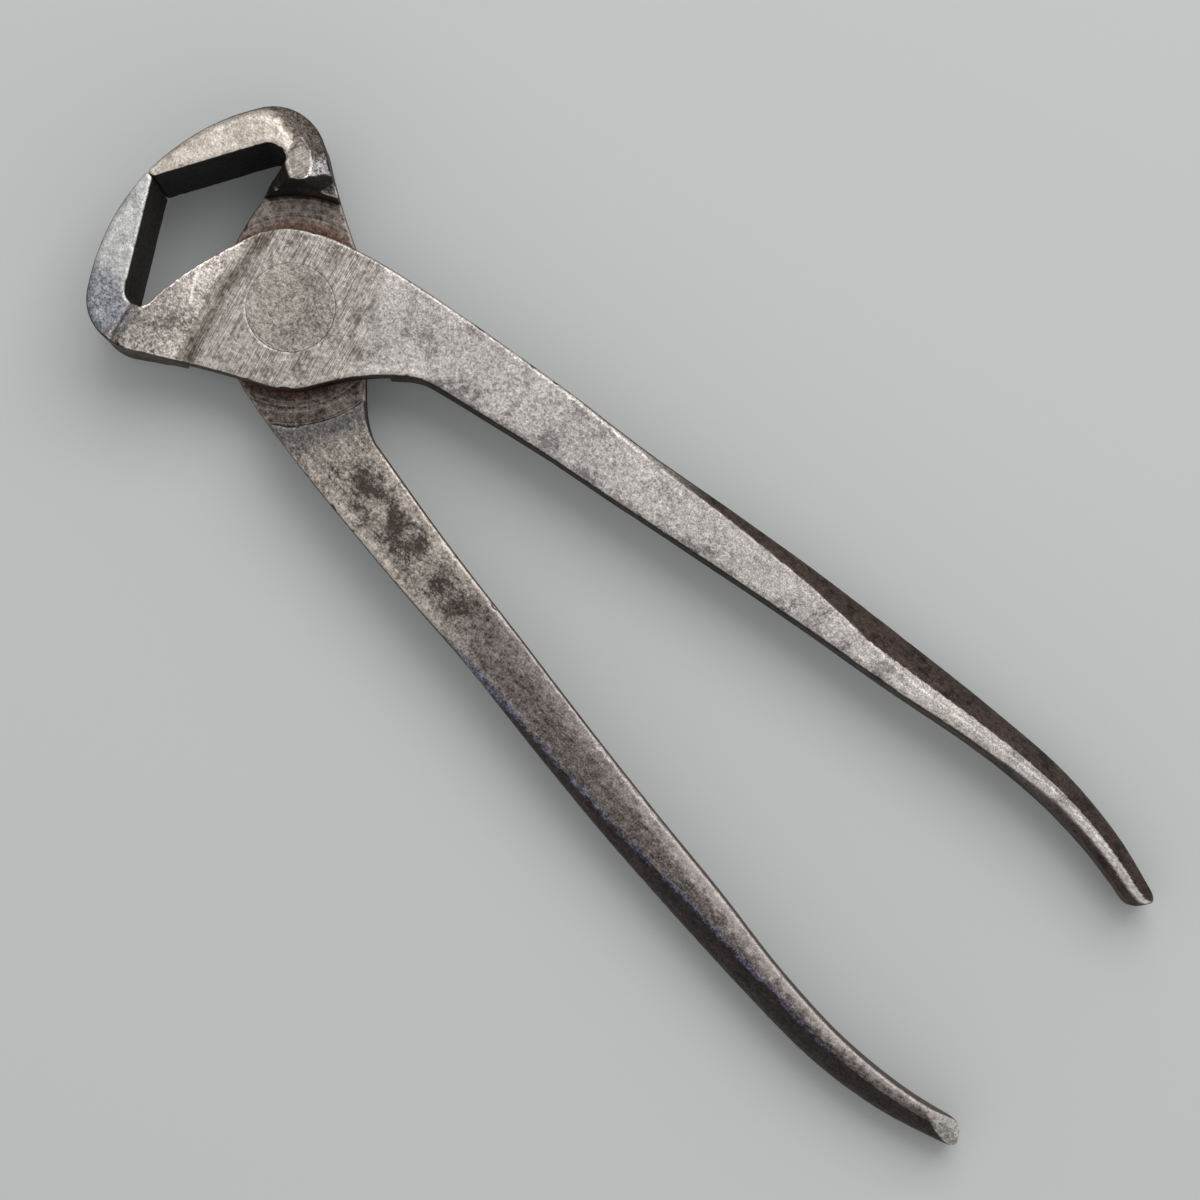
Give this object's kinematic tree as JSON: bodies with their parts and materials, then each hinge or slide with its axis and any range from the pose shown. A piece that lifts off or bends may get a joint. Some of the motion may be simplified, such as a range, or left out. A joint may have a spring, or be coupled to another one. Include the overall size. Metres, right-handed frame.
{
  "type": "lasting pincers",
  "caption": "Forged steel lasting pincers: two crossing levers with hooked jaws and bowed handles, lapped at a round boss and turning on a flush countersunk rivet.",
  "frame": {"origin": "middle of the pivot on the flat back face of the joint", "axes": "+X back along the tool between the handles, +Y towards the front lever's handle, +Z along the pivot out of the front face of the joint"},
  "size_m": [0.2341, 0.072, 0.022],
  "materials": {
    "ground_steel": "ground and worn forged steel with mottled patina",
    "browned_steel": "worn forged steel with dark brown patina and pitting",
    "rivet_steel": "finely pitted flush rivet head"
  },
  "bodies": {
    "back": {"back_lever": "browned_steel", "pivot_rivet": "rivet_steel"},
    "front": {"front_lever": "ground_steel"}
  },
  "joints": [
    {"name": "pivot", "type": "hinge", "parent": "back", "child": "front", "pos_m": [0, 0, 0.0048], "axis": [0, 0, 1], "range_deg": [0, 44]}
  ]
}
